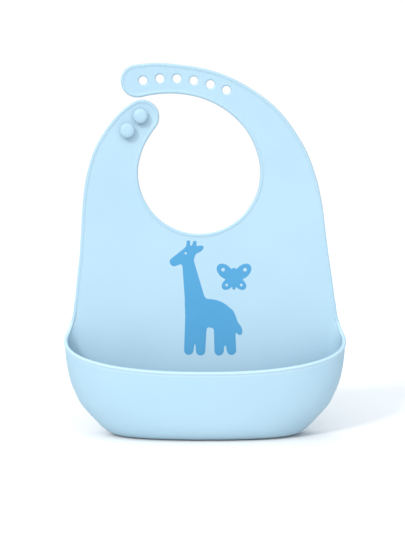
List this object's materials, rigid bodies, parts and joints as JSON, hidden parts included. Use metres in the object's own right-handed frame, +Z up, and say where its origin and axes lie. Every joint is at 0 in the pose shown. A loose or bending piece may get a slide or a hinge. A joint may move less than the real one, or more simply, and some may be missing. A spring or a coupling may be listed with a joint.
{
  "type": "silicone bib",
  "caption": "Soft silicone apron bib with a food-catching pocket, a strap with snap studs and a strap with adjustment holes.",
  "frame": {"origin": "on the surface the pocket stands on, under the middle of the whole bib's footprint", "axes": "+Z up; the bib faces -Y, with the pocket towards -Y and the apron sheet behind it; +X to the right of someone looking at its front"},
  "size_m": [0.2266, 0.0536, 0.2976],
  "materials": {
    "silicone": "satin light-blue silicone rubber",
    "stud_silicone": "satin light-blue silicone rubber",
    "ink": "matt dark-blue silicone ink, printed on the apron"
  },
  "bodies": {
    "pocket": {"catcher_pocket": "silicone", "back_panel": "silicone", "pocket_lip": "silicone", "giraffe_print_body": "ink"},
    "apron": {"upper_apron": "silicone", "giraffe_print_head": "ink", "butterfly_print": "ink"},
    "stud_strap": {"stud_strap": "silicone", "snap_stud_upper": "stud_silicone", "snap_stud_lower": "stud_silicone"},
    "hole_strap_root": {"hole_strap_root": "silicone"},
    "hole_strap_middle": {"hole_strap_middle": "silicone"},
    "hole_strap_tip": {"hole_strap_tip": "silicone"}
  },
  "joints": [
    {"name": "apron_fold", "type": "hinge", "parent": "pocket", "child": "apron", "pos_m": [0, 0.0252, 0.108], "axis": [1, 0, 0], "range_deg": [-60, 90], "stiffness_Nm_per_rad": 0.25},
    {"name": "stud_strap_flex", "type": "hinge", "parent": "apron", "child": "stud_strap", "pos_m": [-0.075, 0.0252, 0.205], "axis": [-1, 0, 0], "range_deg": [-30, 80], "stiffness_Nm_per_rad": 0.05},
    {"name": "hole_strap_root_flex", "type": "hinge", "parent": "apron", "child": "hole_strap_root", "pos_m": [0.066, 0.0252, 0.205], "axis": [-1, 0, 0], "range_deg": [-30, 70], "stiffness_Nm_per_rad": 0.08},
    {"name": "hole_strap_middle_flex", "type": "hinge", "parent": "hole_strap_root", "child": "hole_strap_middle", "pos_m": [0.049, 0.0252, 0.2481], "axis": [-0.8189, 0, -0.5739], "range_deg": [-20, 60], "stiffness_Nm_per_rad": 0.06},
    {"name": "hole_strap_tip_flex", "type": "hinge", "parent": "hole_strap_middle", "child": "hole_strap_tip", "pos_m": [0.0234, 0.0252, 0.272], "axis": [-0.438, 0, -0.899], "range_deg": [-20, 60], "stiffness_Nm_per_rad": 0.05}
  ]
}
